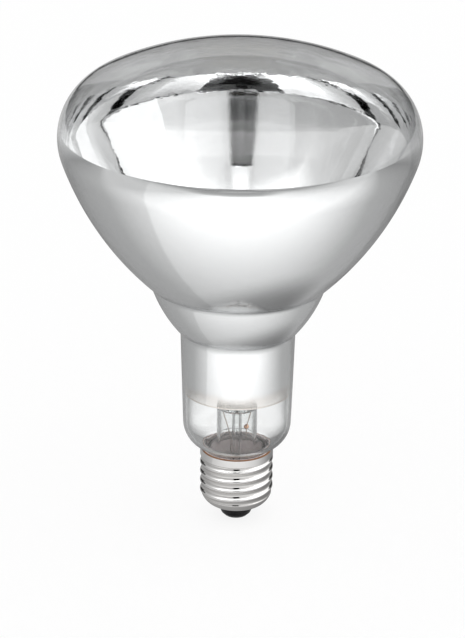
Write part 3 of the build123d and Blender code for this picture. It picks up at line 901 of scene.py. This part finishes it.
def wall(name, middle, width, rise, tones, facing=0, across=None, soft=0.0):
    """An upright card, toned in shares of its height and of its width. Its sides may fade out."""
    foot, head = rise
    location = (middle[0], middle[1], (foot + head) / 2)
    tree = new_card(name, location, (width, head - foot), (90, 0, facing))
    flat = add(tree, "ShaderNodeTexCoord").outputs["UV"]
    spot = add(tree, "ShaderNodeSeparateXYZ", {0: flat}).outputs
    light = ramp(tree, spot["Y"], tones)
    if across:
        light = times(tree, light, ramp(tree, spot["X"], across))
    surface = add(tree, "ShaderNodeEmission", {"Color": light}).outputs[0]
    if soft:
        from_left = remap(tree, spot["X"], 0.0, soft, 0.0, 1.0)
        from_right = remap(tree, spot["X"], 1.0 - soft, 1.0, 1.0, 0.0)
        clear = add(tree, "ShaderNodeBsdfTransparent")
        links = {0: times(tree, from_left, from_right), 1: clear.outputs[0], 2: surface}
        surface = add(tree, "ShaderNodeMixShader", links).outputs[0]
    show(tree, surface)


# %% The gap at the camera, with its head and the rail before it
GAP = [(0, 0.4), (0.065, 0.36), (0.09, 0.0), (0.9, 0.0), (1, 0.02)]
GAP_HEAD = [(0, 1.1), (1, 2.1)]
RAIL = [(0, 0.7), (0.5, 0.42), (1, 0.36)]
RAIL_SIDES = [(0, 1.5), (0.3, 1), (0.7, 1), (1, 2)]
wall("camera_gap", (-0.045, -1.3), width=0.56, rise=(0.0, 1.40), tones=GAP, soft=0.2)
wall("gap_head", (-0.02, -1.3), width=0.6, rise=(1.41, 2.4), tones=GAP_HEAD, soft=0.3)
wall("low_rail", (-0.05, -0.6), width=0.9, rise=(0.0, 0.075), tones=RAIL, across=RAIL_SIDES, soft=0.25)
print("gap at the camera:", len(GAP), "tones")

# %% Walls in front and at the sides
FRONT = {"width": 1.9, "rise": (0.0, 2.4)}
FRONT_LEFT = [(0, 0.25), (0.03, 0.5), (0.42, 0.66), (0.7, 0.85), (1, 1.9)]
FRONT_LEFT_SIDES = [(0, 0.96), (0.75, 0.97), (1, 0.8)]
FRONT_RIGHT = [(0, 0.3), (0.03, 0.76), (0.14, 1.12), (0.42, 1.08), (0.7, 1.3), (1, 2.1)]
FRONT_RIGHT_SIDES = [(0, 0.55), (0.15, 0.7), (0.4, 0.8), (0.6, 0.95), (0.7, 1), (1, 1)]
SIDE = {"width": 2.9, "rise": (0.0, 3.2), "facing": 90}
LEFT = [(0, 0.25), (0.022, 0.5), (0.31, 0.62), (0.5, 0.85), (0.75, 1.6), (1, 2.2)]
LEFT_SIDES = [(0, 0.96), (0.45, 0.94), (0.7, 0.78), (1, 0.75)]
RIGHT = [(0, 0.3), (0.02, 1.0), (0.14, 1.5), (0.5, 1.45), (0.75, 2.1), (1, 2.2)]
RIGHT_SIDES = [(0, 1), (0.5, 0.98), (0.64, 0.84), (1, 0.76)]
wall("front_left", (-1.0, -1.32), tones=FRONT_LEFT, across=FRONT_LEFT_SIDES, **FRONT)
wall("front_right", (1.05, -1.32), tones=FRONT_RIGHT, across=FRONT_RIGHT_SIDES, **FRONT)
wall("left_wall", (-2.0, 0.0), tones=LEFT, across=LEFT_SIDES, **SIDE)
wall("right_wall", (2.0, 0.0), tones=RIGHT, across=RIGHT_SIDES, **SIDE)
print("side walls:", SIDE["rise"][1], "metres high")

# %% Walls and corners at the back
BACK_LOW = [(0, 0.02), (0.1, 0.04), (0.15, 0.36), (1, 0.42)]
BACK_HIGH = [(0, 0.0), (0.75, 0.01), (1, 0.5)]
CORNER = {"width": 1.2, "rise": (0.1, 0.78), "tones": [(0, 0.03), (1, 0.06)], "soft": 0.25}
CORNER_TURN = 33
wall("back_wall", (0.0, 1.4), width=4.0, rise=(0.0, 0.9), tones=BACK_LOW)
wall("dark_ceiling", (0.0, 1.35), width=4.4, rise=(0.76, 3.3), tones=BACK_HIGH, soft=0.06)
wall("dark_corner_left", (-0.82, 1.2), facing=CORNER_TURN, **CORNER)
wall("dark_corner_right", (0.82, 1.2), facing=-CORNER_TURN, **CORNER)
print("dark corners: turned by", CORNER_TURN, "degrees")

# %% The soft box overhead
SOFT_BOX_PLACE = (0, -1.4, 2.45)
SOFT_BOX_SIZE = (5, 4.2)
SOFT_BOX_LIGHT = 2.2
tree = new_card("soft_box", SOFT_BOX_PLACE, SOFT_BOX_SIZE)
show(tree, add(tree, "ShaderNodeEmission", {"Strength": SOFT_BOX_LIGHT}).outputs[0])

# %% [markdown]
# ## Light
#
# The lamp stands in soft light from all sides, as in a light tent. Area lights could give it, but
# each would be a hard shape in the mirror, so an even white world lights the paper and the pieces.

# %% World
world = bpy.data.worlds.new("studio")
scene.world = world
world.use_nodes = True
background = world.node_tree.nodes["Background"]
background.inputs["Color"].default_value = (1, 1, 1, 1)
background.inputs["Strength"].default_value = 1.0
print("world:", world.name)

# %% [markdown]
# ## Camera
#
# The camera stands about 0.9 m in front of the lamp and 0.46 m above the floor, and looks down by
# 23 degrees. It could be aimed at a target, but three turns say exactly how it stands. The long
# lens keeps the rim and the cap in the proportions of the photograph. Light crosses several glass
# walls and is mirrored many times in the bowl, so the bounces are many, and mirrored light isn't
# blurred, because that would darken what lies behind the glass.

# %% Camera
CAMERA_PLACE = (0, -0.8977, 0.4573)
CAMERA_SENSOR = 36.0
CAMERA_LENS = 156.62
CAMERA_PAN = 0.125
CAMERA_TILT = 67.005
CAMERA_ROLL = 0.6


def turn(degrees, axis):
    return Matrix.Rotation(math.radians(degrees), 3, axis)


camera_data = bpy.data.cameras.new("camera")
camera = bpy.data.objects.new("camera", camera_data)
scene.collection.objects.link(camera)
camera_data.sensor_width = CAMERA_SENSOR
camera_data.lens = CAMERA_LENS
camera.location = CAMERA_PLACE
aim = turn(CAMERA_PAN, "Z") @ turn(CAMERA_TILT, "X") @ turn(CAMERA_ROLL, "Z")
camera.rotation_euler = aim.to_euler()
scene.camera = camera
scene.view_settings.view_transform = "Standard"
scene.cycles.blur_glossy = 0.0
scene.cycles.max_bounces = 32
scene.cycles.glossy_bounces = 16
scene.cycles.transmission_bounces = 24
scene.cycles.transparent_max_bounces = 16
print("camera lens in millimetres:", CAMERA_LENS)

# %% Sizes, and the end
low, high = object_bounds()
print("visual box in millimetres:", [round((b - a) / MM, 1) for a, b in zip(low, high)])
